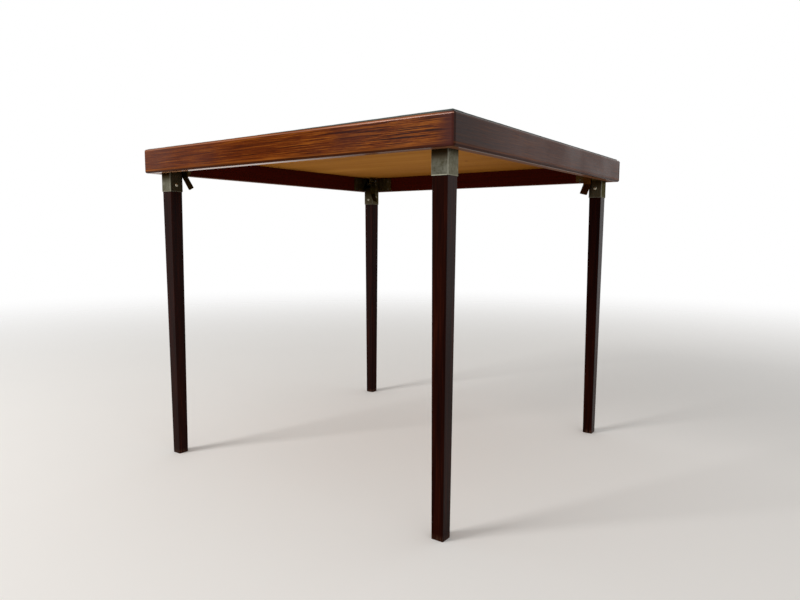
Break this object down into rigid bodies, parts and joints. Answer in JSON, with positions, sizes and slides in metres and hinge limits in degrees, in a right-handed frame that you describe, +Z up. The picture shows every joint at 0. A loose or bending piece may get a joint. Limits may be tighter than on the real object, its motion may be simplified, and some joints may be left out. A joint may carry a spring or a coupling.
{
  "type": "folding card table",
  "caption": "Square folding card table with a cloth playing surface in a wooden frame, tapered wooden legs that fold under the top, and release levers.",
  "frame": {"origin": "on the floor under the centre of the square top", "axes": "+Z up; +X and +Y run along the sides of the top, -Y towards the front rail and +X towards the right rail"},
  "size_m": [0.81, 0.81, 0.703],
  "materials": {
    "rail_wood": "gloss",
    "plywood": "matt",
    "cloth": "matt",
    "leg_wood": "gloss",
    "plated_steel": "aged plating",
    "bracket_steel": "dark aged plating",
    "lever_steel": "dark aged plating",
    "fastener_steel": "bright",
    "spring_steel": "dark"
  },
  "bodies": {
    "frame": {"rail_front": "rail_wood", "rail_right": "rail_wood", "rail_back": "rail_wood", "rail_left": "rail_wood", "top_panel": "plywood", "playing_surface": "cloth", "corner_bracket_front_left": "bracket_steel", "latch_plate_front_left": "bracket_steel", "bracket_screws_front_left": "fastener_steel", "hinge_pin_front_left": "fastener_steel", "lever_pin_front_left": "fastener_steel", "lever_spring_front_left": "spring_steel", "corner_bracket_front_right": "bracket_steel", "latch_plate_front_right": "bracket_steel", "bracket_screws_front_right": "fastener_steel", "hinge_pin_front_right": "fastener_steel", "lever_pin_front_right": "fastener_steel", "lever_spring_front_right": "spring_steel", "corner_bracket_back_right": "bracket_steel", "latch_plate_back_right": "bracket_steel", "bracket_screws_back_right": "fastener_steel", "hinge_pin_back_right": "fastener_steel", "lever_pin_back_right": "fastener_steel", "lever_spring_back_right": "spring_steel", "corner_bracket_back_left": "bracket_steel", "latch_plate_back_left": "bracket_steel", "bracket_screws_back_left": "fastener_steel", "hinge_pin_back_left": "fastener_steel", "lever_pin_back_left": "fastener_steel", "lever_spring_back_left": "spring_steel"},
    "leg_front_left": {"leg_front_left": "leg_wood", "leg_cap_front_left": "plated_steel", "cap_rivets_front_left": "fastener_steel"},
    "lever_front_left": {"release_lever_front_left": "lever_steel"},
    "leg_front_right": {"leg_front_right": "leg_wood", "leg_cap_front_right": "plated_steel", "cap_rivets_front_right": "fastener_steel"},
    "lever_front_right": {"release_lever_front_right": "lever_steel"},
    "leg_back_right": {"leg_back_right": "leg_wood", "leg_cap_back_right": "plated_steel", "cap_rivets_back_right": "fastener_steel"},
    "lever_back_right": {"release_lever_back_right": "lever_steel"},
    "leg_back_left": {"leg_back_left": "leg_wood", "leg_cap_back_left": "plated_steel", "cap_rivets_back_left": "fastener_steel"},
    "lever_back_left": {"release_lever_back_left": "lever_steel"}
  },
  "joints": [
    {"name": "fold_front_left", "type": "hinge", "parent": "frame", "child": "leg_front_left", "pos_m": [-0.3629, -0.3629, 0.6715], "axis": [0, -1, 0], "range_deg": [0, 90]},
    {"name": "release_front_left", "type": "hinge", "parent": "frame", "child": "lever_front_left", "pos_m": [-0.3425, -0.33975, 0.68], "axis": [1, 0, 0], "range_deg": [0, 14], "stiffness_Nm_per_rad": 0.2, "springref_deg": -28.65, "deforming": ["lever_spring_front_left"]},
    {"name": "fold_front_right", "type": "hinge", "parent": "frame", "child": "leg_front_right", "pos_m": [0.3629, -0.3629, 0.6715], "axis": [1, 0, 0], "range_deg": [0, 90]},
    {"name": "release_front_right", "type": "hinge", "parent": "frame", "child": "lever_front_right", "pos_m": [0.33975, -0.3425, 0.68], "axis": [0, 1, 0], "range_deg": [0, 14], "stiffness_Nm_per_rad": 0.2, "springref_deg": -28.65, "deforming": ["lever_spring_front_right"]},
    {"name": "fold_back_right", "type": "hinge", "parent": "frame", "child": "leg_back_right", "pos_m": [0.3629, 0.3629, 0.6715], "axis": [0, 1, 0], "range_deg": [0, 90]},
    {"name": "release_back_right", "type": "hinge", "parent": "frame", "child": "lever_back_right", "pos_m": [0.3425, 0.33975, 0.68], "axis": [-1, 0, 0], "range_deg": [0, 14], "stiffness_Nm_per_rad": 0.2, "springref_deg": -28.65, "deforming": ["lever_spring_back_right"]},
    {"name": "fold_back_left", "type": "hinge", "parent": "frame", "child": "leg_back_left", "pos_m": [-0.3629, 0.3629, 0.6715], "axis": [-1, 0, 0], "range_deg": [0, 90]},
    {"name": "release_back_left", "type": "hinge", "parent": "frame", "child": "lever_back_left", "pos_m": [-0.33975, 0.3425, 0.68], "axis": [0, -1, 0], "range_deg": [0, 14], "stiffness_Nm_per_rad": 0.2, "springref_deg": -28.65, "deforming": ["lever_spring_back_left"]}
  ]
}
